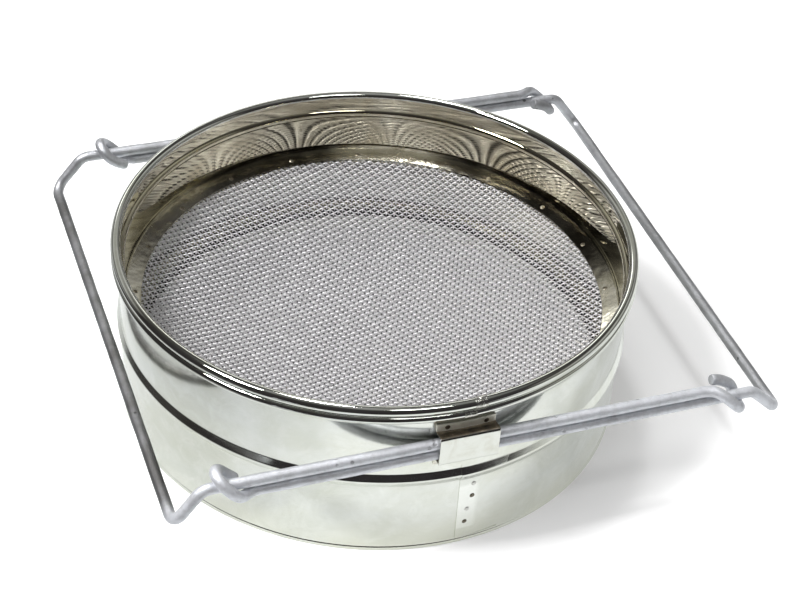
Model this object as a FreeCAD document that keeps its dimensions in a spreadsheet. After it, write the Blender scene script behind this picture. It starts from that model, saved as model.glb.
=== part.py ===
import FreeCAD, Part
import math
import os
import Sketcher

# Double sieve strainer: a coarse sieve nested in a fine sieve, carried by two
# telescoping wire handles.  Millimetres.  +Z is up; the origin lies on the resting
# plane, on the axis of the basins.  +X is right, the pull direction of the right
# handle.  Front is -Y and back is +Y.

os.makedirs("parts", exist_ok=True)
doc = FreeCAD.newDocument("double_sieve_strainer")
V = FreeCAD.Vector
UP = V(0, 0, 1)

# ---------------------------------------------------------------- dimensions
# alias, value, note
DIMENSIONS = [
    ("sheet_gauge", 0.5, "stainless sheet thickness of both walls"),
    # fine (lower) sieve
    ("fine_bore", 116.2, "inner radius of the fine wall"),
    ("fine_roll", 1.9, "outer radius of the curled rim of the fine wall"),
    ("fine_roll_level", 77.55, "height of the curl centre of the fine rim"),
    ("bead_level", 41.3, "height of the stiffening bead"),
    ("bead_curve", 5.8, "section radius of the bead, outside"),
    ("bead_rise", 1.6, "how far the bead stands out"),
    ("hem_rise", 0.6, "how far the bottom hem stands out"),
    ("hem_depth", 1.5, "height of the bottom hem"),
    ("hem_slope", 0.5, "height of the slope from the hem back to the wall"),
    ("lap_rise", 0.4, "how far a wall lap stands off its wall"),
    ("lap_angle", 7.0, "width of a wall lap in degrees"),
    ("lap_lift", 0.9, "height of the fine wall lap above the hem"),
    ("lap_top", 48.6, "top of the fine wall lap"),
    ("fine_ring_outer", 116.15, "outer radius of the fine retaining ring"),
    ("fine_ring_inner", 108.5, "inner radius of the flange of the fine ring"),
    ("fine_ring_level", 14.3, "top of the flange of the fine ring at its inner edge"),
    ("fine_ring_leg", 18.3, "top of the short upright lip of the fine ring"),
    ("fine_mesh_thick", 0.5, "woven thickness of the fine mesh"),
    ("fine_mesh_sag", 8.5, "depth of the dish of the fine mesh"),
    # coarse (upper) sieve
    ("coarse_bore", 115.4, "inner radius of the coarse wall under the rim"),
    ("coarse_roll", 2.3, "outer radius of the curled rim of the coarse wall"),
    ("coarse_roll_level", 81.8, "height of the curl centre of the coarse rim"),
    ("groove_level", 72.9, "height of the inward bead"),
    ("groove_curve", 2.51, "section radius of the inward bead, inside"),
    ("groove_rise", 1.5, "how far the inward bead stands in"),
    ("coarse_toe", 114.6, "inner radius of the coarse wall at its foot"),
    ("coarse_lap_lift", 4.4, "height of the coarse wall lap above the ring lip"),
    ("coarse_lap_drop", 0.6, "gap between the coarse wall lap and the inward bead"),
    ("ledge_setback", 0.4, "how far the coarse ledge ends short of its ring flange"),
    ("coarse_ring_inner", 107.0, "inner radius of the flange of the coarse ring"),
    ("coarse_ring_outer", 114.5, "outer radius of the coarse retaining ring"),
    ("coarse_ring_level", 50.5, "top of the flange of the coarse ring at its inner edge"),
    ("coarse_ring_leg", 54.3, "top of the short upright lip of the coarse ring"),
    ("coarse_mesh_thick", 1.0, "woven thickness of the coarse mesh"),
    ("coarse_mesh_sag", 13.6, "depth of the dish of the coarse mesh"),
    ("ring_gauge", 0.6, "sheet thickness of both retaining rings"),
    ("ring_slope", 0.34, "fall of the ring flanges per unit of radius"),
    ("mesh_setback", 0.3, "how far a mesh ends short of the outside of its ring"),
    # spot welds
    ("weld_foot", 1.15, "radius of a spot weld at its foot"),
    ("weld_crown", 0.7, "radius of a spot weld at its crown"),
    ("weld_rise", 0.22, "height of a spot weld"),
    ("ring_weld_count", 20, "spot welds round each retaining ring"),
    # brackets
    ("bracket_width", 26.6, "width of a saddle bracket"),
    ("bracket_offset", 1.0, "offset of the brackets to the right"),
    ("bracket_gauge", 0.9, "sheet thickness of a bracket"),
    ("bracket_reach", 123.3, "distance of the bracket face from the axis plane"),
    ("bracket_tall", 13.4, "height of the bracket channel, outside"),
    ("bracket_tab", 5.4, "height of a bracket tab"),
    ("bracket_bend", 1.3, "outer bend radius of the bracket"),
    # wire handles
    ("rod", 2.5, "radius of the handle wire"),
    ("leg_plane", 119.4, "distance of the handle legs from the axis plane"),
    ("leg_pitch", 5.4, "centre distance of two stacked legs"),
    ("front_level", 61.4, "height between the two front legs"),
    ("back_level", 62.0, "height between the two back legs"),
    ("eye_reach", 5.6, "radius of an eye round the other leg"),
    ("bend", 7.0, "centre-line radius of the leg bends"),
    ("corner", 6.0, "centre-line radius of the bar corners"),
    ("left_bar_front", 124.8, "front end of the left bar"),
    ("left_bar_back", 124.4, "back end of the left bar"),
    ("left_bar_level", 48.2, "height of the left bar"),
    ("left_knee_front", 112.6, "start of the front drop of the left handle"),
    ("left_knee_back", 110.8, "start of the back drop of the left handle"),
    ("right_bar_front", 150.2, "front end of the right bar"),
    ("right_bar_back", 153.9, "back end of the right bar"),
    ("right_bar_front_level", 44.9, "height of the right bar in front"),
    ("right_bar_back_level", 41.8, "height of the right bar at the back"),
    ("right_knee_front", 136.0, "start of the front drop of the right handle"),
    ("right_knee_back", 140.8, "start of the back drop of the right handle"),
    ("eye_left_front", 102.1, "front eye of the right handle"),
    ("eye_left_back", 96.5, "back eye of the right handle"),
    ("eye_right_front", 123.6, "front eye of the left handle"),
    ("eye_right_back", 131.6, "back eye of the left handle"),
]
sheet = doc.addObject("Spreadsheet::Sheet", "Dimensions")
NUM = {}
for row, (alias, value, note) in enumerate(DIMENSIONS, start=1):
    sheet.set("A%d" % row, note)
    sheet.set("B%d" % row, str(value))
    sheet.setAlias("B%d" % row, alias)
    NUM[alias] = float(value)
doc.recompute()

# constants outside the sheet
CURL_END = (0.6, 0.8)    # inward and downward direction from a curl centre to its edge
SLOPED_SHEET = 1.06      # vertical thickness of a flange or ledge per unit of gauge
FIT_GAP = 0.02           # clearance between stacked ring, mesh and ledge
LAP_SINK = 0.3           # how deep the fine lap is sunk in its wall
COARSE_LAP_SINK = 0.2    # how deep the coarse lap is sunk in its wall
FINE_SEAM = -86.0        # direction of each wall lap round the axis, degrees
COARSE_SEAM = -84.0


# ------------------------------------------------------------ driven sizes
class Size(float):
    """A number that also carries the sheet expression that drives it.
    The Size stands on the left of + and -, otherwise the result is a plain float."""

    def __new__(cls, value, text=None):
        size = super().__new__(cls, value)
        size.text = text or repr(float(value))
        return size

    @staticmethod
    def of(number):
        return number if isinstance(number, Size) else Size(number)

    def join(self, sign, other, value):
        return Size(value, "(%s %s %s)" % (self.text, sign, Size.of(other).text))

    def __add__(self, other):
        return self.join("+", other, float(self) + float(other))

    def __sub__(self, other):
        return self.join("-", other, float(self) - float(other))

    def __mul__(self, other):
        return self.join("*", other, float(self) * float(other))

    def __rmul__(self, other):
        return Size.of(other) * self

    def __truediv__(self, other):
        return self.join("/", other, float(self) / float(other))

    def root(self):
        return Size(math.sqrt(self), "sqrt(%s)" % self.text)


ZERO = Size(0.0)


def dim(alias):
    return Size(NUM[alias], "Dimensions." + alias)


def drive(obj, prop, size):
    """Bind a property to the sheet."""
    obj.setExpression(prop, Size.of(size).text)


def half_chord(radius, offset):
    """Half the chord of a circle at an offset from its centre."""
    return (radius * radius - offset * offset).root()


def on_slope(base, radius, inner):
    """Height at a radius on a flange that is at base height at its inner radius."""
    return base + dim("ring_slope") * (radius - inner)


# ------------------------------------------------------------ turned bodies
NODES = []


def publish(obj, label):
    """Label a finished piece and list it for export."""
    obj.Label = label
    NODES.append(obj)


def constrain(sketch, kind, refs, size):
    index = sketch.addConstraint(Sketcher.Constraint(kind, *refs, float(size)))
    sketch.setExpression("Constraints[%d]" % index, size.text)


def profile(body, name, points, arcs):
    """Closed profile in the XZ plane of a body.  points holds (radius, height)
    sizes; arcs maps a segment number to (radius, centre x, centre z, ccw)."""
    sketch = body.newObject("Sketcher::SketchObject", name)
    plane = next(f for f in body.Origin.OriginFeatures if f.Role == "XZ_Plane")
    sketch.AttachmentSupport = [(plane, "")]
    sketch.MapMode = "FlatFace"
    first, last = [], []    # (geometry, vertex) at the start and end of each segment
    for i, start in enumerate(points):
        end = points[(i + 1) % len(points)]
        if i in arcs:
            radius, centre_x, centre_z, ccw = arcs[i]
            from_angle = math.atan2(start[1] - centre_z, start[0] - centre_x)
            to_angle = math.atan2(end[1] - centre_z, end[0] - centre_x)
            if not ccw:
                from_angle, to_angle = to_angle, from_angle
            while to_angle <= from_angle:
                to_angle += 2 * math.pi
            circle = Part.Circle(V(centre_x, centre_z, 0), UP, radius)
            curve = Part.ArcOfCircle(circle, from_angle, to_angle)
        else:
            ccw = True
            curve = Part.LineSegment(V(start[0], start[1], 0), V(end[0], end[1], 0))
        index = sketch.addGeometry(curve, False)
        first.append((index, 1 if ccw else 2))
        last.append((index, 2 if ccw else 1))
    for i, end in enumerate(last):
        following = first[(i + 1) % len(points)]
        sketch.addConstraint(Sketcher.Constraint("Coincident", *end, *following))
    for vertex, (x, z) in zip(first, points):
        # a coordinate of zero lies on an axis of the sketch: -2 vertical, -1 horizontal
        for kind, size, axis in (("DistanceX", x, -2), ("DistanceY", z, -1)):
            if abs(size) < 1e-9:
                sketch.addConstraint(Sketcher.Constraint("PointOnObject", *vertex, axis))
            else:
                constrain(sketch, kind, (-1, 1, *vertex), size)
    for i, arc in arcs.items():
        constrain(sketch, "Radius", (first[i][0],), arc[0])
    return sketch


def revolve(body, name, sketch, angle=None):
    """Turn a profile fully, or by a driven angle centred on the XZ plane."""
    turn = body.newObject("PartDesign::Revolution", name)
    turn.Profile = sketch
    turn.ReferenceAxis = (sketch, ["V_Axis"])
    if angle is None:
        turn.Angle = 360.0
    else:
        turn.Midplane = True
        drive(turn, "Angle", angle)
    body.Tip = turn


def turned_body(label, points, arcs):
    body = doc.addObject("PartDesign::Body", label)
    revolve(body, label + "_turn", profile(body, label + "_profile", points, arcs))
    publish(body, label)
    return body


def add_lap(wall, sieve, points, arcs, seam):
    """Overlapping end of the rolled sheet; the wall is turned to bring it to the seam."""
    doc.recompute()
    sketch = profile(wall, sieve + "_lap_profile", points, arcs)
    revolve(wall, sieve + "_wall_lap", sketch, dim("lap_angle"))
    wall.Placement = at(0, 0, 0, seam)


def at(x, y, z, turn=0):
    """Placement at a point, turned about Z."""
    return FreeCAD.Placement(V(x, y, z), FreeCAD.Rotation(UP, turn))


def curl_edge(centre, level, radius):
    return (centre - CURL_END[0] * radius, level - CURL_END[1] * radius)


gauge = dim("sheet_gauge")

# ------------------------------------------------------------ fine sieve wall
fine_bore = dim("fine_bore")
fine_roll = dim("fine_roll")
fine_roll_level = dim("fine_roll_level")
fine_skin = fine_bore + gauge
fine_curl_radius = fine_bore + fine_roll
fine_lap_face = fine_skin + dim("lap_rise")


def build_fine_wall():
    roll_inside = fine_roll - gauge
    bead, curve, rise = dim("bead_level"), dim("bead_curve"), dim("bead_rise")
    bead_axis = fine_skin + rise - curve
    out_half = half_chord(curve, curve - rise)
    in_half = half_chord(curve - gauge, curve - rise - gauge)
    hem_face = fine_skin + dim("hem_rise")
    hem_top = dim("hem_depth")
    points = [
        (fine_bore, ZERO),
        (hem_face, ZERO),
        (hem_face, hem_top),
        (fine_skin, hem_top + dim("hem_slope")),
        (fine_skin, bead - out_half),
        (fine_skin, bead + out_half),
        (fine_skin, fine_roll_level),
        curl_edge(fine_curl_radius, fine_roll_level, roll_inside),
        curl_edge(fine_curl_radius, fine_roll_level, fine_roll),
        (fine_bore, fine_roll_level),
        (fine_bore, bead + in_half),
        (fine_bore, bead - in_half),
    ]
    arcs = {
        4: (curve, bead_axis, bead, True),
        6: (roll_inside, fine_curl_radius, fine_roll_level, False),
        8: (fine_roll, fine_curl_radius, fine_roll_level, True),
        10: (curve - gauge, bead_axis, bead, False),
    }
    wall = turned_body("fine_wall", points, arcs)

    # the lap lies on the outside and follows the bead
    seat = fine_skin - LAP_SINK
    lap_curve = curve + dim("lap_rise")
    seat_curve = curve - LAP_SINK
    lap_half = half_chord(lap_curve, fine_lap_face - bead_axis)
    seat_half = half_chord(seat_curve, seat - bead_axis)
    lap_foot = hem_top + dim("lap_lift")
    lap_top = dim("lap_top")
    lap_points = [
        (seat, lap_foot),
        (fine_lap_face, lap_foot),
        (fine_lap_face, bead - lap_half),
        (fine_lap_face, bead + lap_half),
        (fine_lap_face, lap_top),
        (seat, lap_top),
        (seat, bead + seat_half),
        (seat, bead - seat_half),
    ]
    lap_arcs = {
        2: (lap_curve, bead_axis, bead, True),
        6: (seat_curve, bead_axis, bead, False),
    }
    add_lap(wall, "fine", lap_points, lap_arcs, FINE_SEAM)


build_fine_wall()

# ---------------------------------------------------------- coarse sieve wall
coarse_bore = dim("coarse_bore")
coarse_roll = dim("coarse_roll")
coarse_roll_level = dim("coarse_roll_level")
coarse_curl_radius = coarse_bore + coarse_roll
groove, groove_curve = dim("groove_level"), dim("groove_curve")
groove_half = half_chord(groove_curve, groove_curve - dim("groove_rise"))
# ring flange, mesh edge and wall ledge are stacked from the top down
coarse_inner = dim("coarse_ring_inner")
coarse_ring_top = dim("coarse_ring_level")
flange_drop = dim("ring_gauge") * SLOPED_SHEET
coarse_mesh_top = coarse_ring_top - flange_drop - FIT_GAP
ledge_top = coarse_mesh_top - dim("coarse_mesh_thick") - FIT_GAP
# the wall widens from its toe up to the inward bead
toe = dim("coarse_toe")
toe_level = on_slope(ledge_top, toe, coarse_inner)
taper = (coarse_bore - toe) / (groove - groove_half - toe_level)


def coarse_wall_radius(z):
    """Inner radius of the tapered part of the coarse wall at a height."""
    return toe + (Size.of(z) - toe_level) * taper


def build_coarse_wall():
    skin = coarse_bore + gauge
    roll_inside = coarse_roll - gauge
    rise = dim("groove_rise")
    groove_axis = coarse_bore - rise + groove_curve
    out_half = half_chord(groove_curve - gauge, groove_curve - gauge - rise)
    ledge_low = ledge_top - SLOPED_SHEET * gauge
    toe_skin = toe + gauge
    tip = coarse_inner + dim("ledge_setback")
    points = [
        (tip, on_slope(ledge_top, tip, coarse_inner)),
        (toe, toe_level),
        (coarse_bore, groove - groove_half),
        (coarse_bore, groove + groove_half),
        (coarse_bore, coarse_roll_level),
        curl_edge(coarse_curl_radius, coarse_roll_level, coarse_roll),
        curl_edge(coarse_curl_radius, coarse_roll_level, roll_inside),
        (skin, coarse_roll_level),
        (skin, groove + out_half),
        (skin, groove - out_half),
        (toe_skin, on_slope(ledge_low, toe_skin, coarse_inner)),
        (tip, on_slope(ledge_low, tip, coarse_inner)),
    ]
    arcs = {
        2: (groove_curve, groove_axis, groove, False),
        4: (coarse_roll, coarse_curl_radius, coarse_roll_level, False),
        6: (roll_inside, coarse_curl_radius, coarse_roll_level, True),
        8: (groove_curve - gauge, groove_axis, groove, True),
    }
    wall = turned_body("coarse_wall", points, arcs)

    # the lap lies on the inside, below the inward bead
    low = dim("coarse_ring_leg") + dim("coarse_lap_lift")
    high = groove - groove_half - dim("coarse_lap_drop")
    lap_points = [
        (coarse_wall_radius(low) + COARSE_LAP_SINK, low),
        (coarse_wall_radius(high) + COARSE_LAP_SINK, high),
        (coarse_wall_radius(high) - dim("lap_rise"), high),
        (coarse_wall_radius(low) - dim("lap_rise"), low),
    ]
    add_lap(wall, "coarse", lap_points, {}, COARSE_SEAM)


build_coarse_wall()


# -------------------------------------------------- retaining rings and meshes
def retaining_ring(label, outer, inner, top, leg):
    """L-section ring: a short lip against the wall, a falling flange on the mesh."""
    face = outer - dim("ring_gauge")
    low = top - flange_drop
    points = [
        (inner, low),
        (outer, on_slope(low, outer, inner)),
        (outer, leg),
        (face, leg),
        (face, on_slope(top, face, inner)),
        (inner, top),
    ]
    turned_body(label, points, {})


def dished_mesh(label, inner, edge, top, thick, sag):
    """Woven cloth as a thin dished plate with a straight sloping edge."""
    radius = (inner * inner + sag * sag) / (2 * sag)
    centre_z = top - sag + radius
    low = top - thick
    points = [
        (ZERO, low - sag),
        (inner, low),
        (edge, on_slope(low, edge, inner)),
        (edge, on_slope(top, edge, inner)),
        (inner, top),
        (ZERO, top - sag),
    ]
    arcs = {
        0: (radius, ZERO, centre_z - thick, True),
        4: (radius, ZERO, centre_z, False),
    }
    turned_body(label, points, arcs)


coarse_outer = dim("coarse_ring_outer")
fine_outer, fine_inner = dim("fine_ring_outer"), dim("fine_ring_inner")
fine_ring_top = dim("fine_ring_level")
fine_mesh_top = fine_ring_top - flange_drop - FIT_GAP
mesh_setback = dim("mesh_setback")

retaining_ring("coarse_retaining_ring", coarse_outer, coarse_inner, coarse_ring_top,
               dim("coarse_ring_leg"))
retaining_ring("fine_retaining_ring", fine_outer, fine_inner, fine_ring_top,
               dim("fine_ring_leg"))
dished_mesh("coarse_mesh", coarse_inner, coarse_outer - mesh_setback, coarse_mesh_top,
            dim("coarse_mesh_thick"), dim("coarse_mesh_sag"))
dished_mesh("fine_mesh", fine_inner, fine_outer - mesh_setback, fine_mesh_top,
            dim("fine_mesh_thick"), dim("fine_mesh_sag"))
doc.recompute()

# ----------------------------------------------------------------- spot welds
FLANGE_WELD_LIFT = 0.008    # lifts a flat foot clear of the cone of the flange
SEAM_WELD_LIFT = 0.02       # lifts a flat foot off the hollow face of the coarse lap
# direction in degrees, height
FINE_SEAM_WELDS = [(-86.3, 34.0), (-86.4, 26.8), (-87.3, 19.3), (-87.6, 11.8)]
COARSE_SEAM_WELD_LEVELS = (60.8, 64.4, 68.0)


def facing(point, normal):
    return FreeCAD.Placement(point, FreeCAD.Rotation(UP, normal))


def weld_group(label, places):
    """One piece made of a small cone at each place."""
    cones = []
    for i, place in enumerate(places, start=1):
        cone = doc.addObject("Part::Cone", "%s_%d" % (label, i))
        drive(cone, "Radius1", dim("weld_foot"))
        drive(cone, "Radius2", dim("weld_crown"))
        drive(cone, "Height", dim("weld_rise"))
        cone.Placement = place
        cones.append(cone)
    group = doc.addObject("Part::MultiFuse", label)
    group.Shapes = cones
    publish(group, label)


def on_wall(radius, degrees, height):
    """Weld seat on the outside of an upright wall."""
    angle = math.radians(degrees)
    normal = V(math.cos(angle), math.sin(angle), 0)
    return facing(V(radius * normal.x, radius * normal.y, height), normal)


def on_flange(top, inner, radius, start):
    """Ring of weld seats on the falling flange of a retaining ring."""
    slope = NUM["ring_slope"]
    count = int(NUM["ring_weld_count"])
    z = on_slope(top, radius, inner)
    places = []
    for i in range(count):
        angle = math.radians(start + 360.0 * i / count)
        cos, sin = math.cos(angle), math.sin(angle)
        normal = V(-slope * cos, -slope * sin, 1).normalize()
        point = V(radius * cos, radius * sin, z) + normal * FLANGE_WELD_LIFT
        places.append(facing(point, normal))
    return places


def on_coarse_lap(z):
    """Weld seat on the inner face of the coarse lap."""
    radius = float(coarse_wall_radius(z) - dim("lap_rise"))
    angle = math.radians(COARSE_SEAM)
    cos, sin = math.cos(angle), math.sin(angle)
    normal = V(-cos, -sin, taper).normalize()
    return facing(V(radius * cos, radius * sin, z) + normal * SEAM_WELD_LIFT, normal)


weld_group("coarse_ring_welds",
           on_flange(coarse_ring_top, coarse_inner, radius=109.6, start=-14.3))
weld_group("fine_ring_welds",
           on_flange(fine_ring_top, fine_inner, radius=111.4, start=-5.0))
weld_group("fine_seam_welds", [on_wall(fine_lap_face, *seat) for seat in FINE_SEAM_WELDS])
weld_group("coarse_seam_welds", [on_coarse_lap(z) for z in COARSE_SEAM_WELD_LEVELS])

# ----------------------------------------------------------------- rim joints
JOINT_ANGLE = 2.6    # width of a joint round the rim, degrees
JOINT_RISE = 0.3     # outer face of a joint above the curl
JOINT_GAP = 0.01     # clearance between a joint and the curl


def cut(name, base, tool):
    result = doc.addObject("Part::Cut", name)
    result.Base = base
    result.Tool = tool
    return result


def torus(name, radius, tube):
    ring = doc.addObject("Part::Torus", name)
    drive(ring, "Radius1", radius)
    drive(ring, "Radius2", tube)
    return ring


def rim_joint(label, radius, level, tube, degrees, low, high, inside):
    """Bead of weld that closes a curl: a patch of torus skin between two heights,
    low and high from the curl centre, and outwards of inside from it."""
    sleeve = torus(label + "_sleeve", radius, tube + JOINT_RISE)
    sleeve.Angle3 = JOINT_ANGLE
    core = torus(label + "_core", radius, tube + JOINT_GAP)
    # a box ample enough to trim the patch only at its inner side, foot and top
    keep = doc.addObject("Part::Box", label + "_keep")
    keep.Length = 14
    keep.Width = 30
    keep.Height = high - low
    keep.Placement = at(radius + inside, -8, low)
    shell = cut(label + "_shell", sleeve, core)
    patch = doc.addObject("Part::Common", label)
    patch.Base = shell
    patch.Tool = keep
    patch.Placement = at(0, 0, level, degrees)
    publish(patch, label)


rim_joint("coarse_rim_joint", coarse_curl_radius, coarse_roll_level, coarse_roll,
          degrees=-88.3, low=-1.6, high=6.0, inside=-1.6)
rim_joint("fine_rim_joint", fine_curl_radius, fine_roll_level, fine_roll,
          degrees=-90.6, low=-1.7, high=1.1, inside=0.5)

# ------------------------------------------------------------------- brackets
BRACKET_DEPTH = 12.0    # depth of the channel blank, past the wall
BRACKET_GAP = 0.03      # clearance between a bracket and the fine wall
# upper and lower tab welds: degrees from the bracket middle, distance off the channel
UPPER_TAB_WELDS = [(-4.1, 2.6), (4.4, 2.2)]
LOWER_TAB_WELDS = [(-4.4, 2.4), (4.2, 2.2)]


def box(name, length, width, height, place):
    block = doc.addObject("Part::Box", name)
    drive(block, "Length", length)
    drive(block, "Width", width)
    drive(block, "Height", height)
    block.Placement = place
    return block


def cylinder(name, radius, height, place, angle=None):
    drum = doc.addObject("Part::Cylinder", name)
    drive(drum, "Radius", radius)
    drive(drum, "Height", height)
    if angle is not None:
        drum.Angle = angle
    drum.Placement = place
    return drum


def bracket(side, centre, back):
    """Saddle strap and its welds, built in front; the back one gets half a turn."""
    label = side + "_bracket"
    width, thick = dim("bracket_width"), dim("bracket_gauge")
    reach, tall, tab = dim("bracket_reach"), dim("bracket_tall"), dim("bracket_tab")
    seat = fine_skin + BRACKET_GAP
    tab_face = seat + thick
    offset = NUM["bracket_offset"] * (-1 if back else 1)
    spin = 180 if back else 0
    left = offset - width / 2
    low = centre - tall / 2
    top = low + tall

    outer = box(label + "_outer", width, BRACKET_DEPTH, tall, at(left, -reach, low))
    inner = box(label + "_inner", width + 2, BRACKET_DEPTH, tall - 2 * thick,
                at(left - 1, -reach + thick, low + thick))
    channel = cut(label + "_channel", outer, inner)
    drum = cylinder(label + "_drum", seat, tall + 8, at(0, 0, low - 4))
    pieces = [cut(label + "_saddle", channel, drum)]

    # tabs curved to the wall
    half_angle = math.degrees(math.asin(width / 2 / tab_face))
    middle = -90 + math.degrees(math.asin(offset / seat))
    for which, z in (("_upper", top - thick), ("_lower", low - tab + thick)):
        full = cylinder(label + which + "_full", tab_face, tab,
                        at(0, 0, z, middle - half_angle), 2 * half_angle)
        hollow = cylinder(label + which + "_hollow", seat, tab + 2, at(0, 0, z - 1))
        pieces.append(cut(label + which + "_tab", full, hollow))
    joined = doc.addObject("Part::MultiFuse", label + "_joined")
    joined.Shapes = pieces
    joined.Refine = True
    doc.recompute()

    # round the two long outer bends
    bend = NUM["bracket_bend"]
    edges = []
    for i, edge in enumerate(joined.Shape.Edges, start=1):
        bound = edge.BoundBox
        on_face = abs(bound.YMin + reach) < 1e-4 and bound.YLength < 1e-6
        if on_face and bound.ZLength < 1e-6 and bound.XLength > width - 0.5:
            edges.append((i, bend, bend))
    fillet = doc.addObject("Part::Fillet", label)
    fillet.Base = joined
    fillet.Edges = edges
    fillet.Placement = at(0, 0, 0, spin)
    publish(fillet, label)

    seats = [(turn, top + away) for turn, away in UPPER_TAB_WELDS]
    seats += [(turn, low - away) for turn, away in LOWER_TAB_WELDS]
    weld_group(label + "_welds",
               [on_wall(tab_face, middle + turn + spin, z) for turn, z in seats])


bracket("front", NUM["front_level"], back=False)
bracket("back", NUM["back_level"], back=True)

# --------------------------------------------------------------- wire handles
PLANE = NUM["leg_plane"]
PITCH = NUM["leg_pitch"]
EYE = NUM["eye_reach"]
FRONT_LEVEL, BACK_LEVEL = NUM["front_level"], NUM["back_level"]

# Coiled ends round the other leg: x from the eye, radius round that leg, degrees
# (0 is outwards, 90 is up).  Each starts on its own leg, a leg pitch below or above.
RIGHT_START = [(16, PITCH, -90), (11.5, PITCH, -89), (7.6, EYE - 0.1, -72), (4.6, EYE, -42)]
RIGHT_EYE_FRONT = RIGHT_START + [
    (1.0, EYE, 0), (-2.8, EYE + 0.6, 45), (-4.8, EYE + 1.1, 90),
    (-3.4, EYE + 1.3, 132), (0.6, EYE + 1.0, 176), (4.8, EYE + 0.9, 208)]
RIGHT_EYE_BACK = RIGHT_START + [
    (0.6, EYE, 0), (-3.4, EYE + 0.1, 45), (-5.2, EYE + 0.1, 90), (-4.3, EYE + 0.1, 135),
    (-0.8, EYE + 0.3, 180), (3.0, EYE + 0.8, 204), (6.0, EYE + 1.4, 217)]
LEFT_START = [
    (-16, PITCH, 90), (-11.5, PITCH, 89), (-7.6, EYE, 74), (-4.2, EYE + 0.1, 45),
    (0.4, EYE + 0.1, 0), (4.4, EYE + 0.1, -45), (5.8, EYE + 0.1, -90)]
LEFT_EYE_FRONT = LEFT_START + [
    (5.6, EYE + 0.1, -135), (4.4, EYE + 0.2, -180), (1.0, EYE + 1.0, -210),
    (-3.0, EYE + 2.2, -224), (-6.6, EYE + 2.7, -229)]
LEFT_EYE_BACK = LEFT_START + [
    (4.6, EYE + 0.1, -135), (1.4, EYE + 0.3, -176), (-2.8, EYE + 0.6, -194),
    (-6.6, EYE + 1.2, -203)]


def rounded(points, radii):
    """Lines through the points with an arc at every inner point."""
    edges = []
    start = points[0]
    for before, point, after, radius in zip(points, points[1:], points[2:], radii):
        to_before = (before - point).normalize()
        to_after = (after - point).normalize()
        half = to_before.getAngle(to_after) / 2
        cutoff = radius / math.tan(half)
        arc_start = point + to_before * cutoff
        arc_end = point + to_after * cutoff
        bisector = (to_before + to_after).normalize()
        centre = point + bisector * (radius / math.sin(half))
        edges.append(Part.LineSegment(start, arc_start).toShape())
        edges.append(Part.Arc(arc_start, centre - bisector * radius, arc_end).toShape())
        start = arc_end
    edges.append(Part.LineSegment(start, points[-1]).toShape())
    return edges


def coil(keys, eye_x, level, side):
    """Points of a coiled end; side is -1 in front, 1 at the back."""
    points = []
    for along, radius, degrees in keys:
        angle = math.radians(degrees)
        points.append(V(eye_x + along,
                        side * (PLANE + radius * math.cos(angle)),
                        level + radius * math.sin(angle)))
    return points


def spline(points):
    """Edge through the points, with parameters by chord length."""
    lengths = [0.0]
    for before, point in zip(points, points[1:]):
        lengths.append(lengths[-1] + (point - before).Length)
    curve = Part.BSplineCurve()
    curve.interpolate(Points=points, Parameters=[v / lengths[-1] for v in lengths])
    return curve.toShape()


def sweep(edges):
    """Round wire along the edges; the section stands at the start of the first."""
    path = Part.Wire(Part.__sortEdges__(edges))
    head = edges[0]
    point = head.valueAt(head.FirstParameter)
    tangent = head.tangentAt(head.FirstParameter)
    section = Part.Wire([Part.Circle(point, tangent, NUM["rod"]).toShape()])
    return path.makePipeShell([section], True, False)


def handle(label, front_eye, back_eye, leg_shift, knees, bar):
    """front_eye and back_eye: (keys, x).  leg_shift: height of the legs above the
    middle of the stack.  knees: x in front and at the back.  bar: (x, z) of both ends."""
    front = coil(*front_eye, FRONT_LEVEL - leg_shift, -1)
    back = coil(*back_eye, BACK_LEVEL - leg_shift, 1)
    (bar_front_x, bar_front_z), (bar_back_x, bar_back_z) = bar
    points = [
        front[0],
        V(knees[0], -PLANE, FRONT_LEVEL + leg_shift),
        V(bar_front_x, -PLANE, bar_front_z),
        V(bar_back_x, PLANE, bar_back_z),
        V(knees[1], PLANE, BACK_LEVEL + leg_shift),
        back[0],
    ]
    radii = [NUM["bend"], NUM["corner"], NUM["corner"], NUM["bend"]]
    wire = doc.addObject("Part::Feature", label)
    wire.Shape = sweep([spline(front[::-1])] + rounded(points, radii) + [spline(back)])
    publish(wire, label)


# left handle: upper legs, eyes on the right round the lower legs
handle("left_handle",
       front_eye=(LEFT_EYE_FRONT, NUM["eye_right_front"]),
       back_eye=(LEFT_EYE_BACK, NUM["eye_right_back"]),
       leg_shift=PITCH / 2,
       knees=(-NUM["left_knee_front"], -NUM["left_knee_back"]),
       bar=((-NUM["left_bar_front"], NUM["left_bar_level"]),
            (-NUM["left_bar_back"], NUM["left_bar_level"])))
# right handle: lower legs, eyes on the left round the upper legs
handle("right_handle",
       front_eye=(RIGHT_EYE_FRONT, -NUM["eye_left_front"]),
       back_eye=(RIGHT_EYE_BACK, -NUM["eye_left_back"]),
       leg_shift=-PITCH / 2,
       knees=(NUM["right_knee_front"], NUM["right_knee_back"]),
       bar=((NUM["right_bar_front"], NUM["right_bar_front_level"]),
            (NUM["right_bar_back"], NUM["right_bar_back_level"])))

doc.recompute()

# --------------------------------------------------------------------- export
bad = []
for obj in doc.Objects:
    if any(state in ("Invalid", "Error") for state in obj.State):
        bad.append("%s %s" % (obj.Name, obj.State))
for node in NODES:
    if node.Shape.isNull() or not node.Shape.isValid():
        bad.append("%s shape" % node.Label)
if bad:
    raise RuntimeError("; ".join(bad))
for node in NODES:
    node.Shape.exportStep("parts/%s.step" % node.Label)
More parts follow.
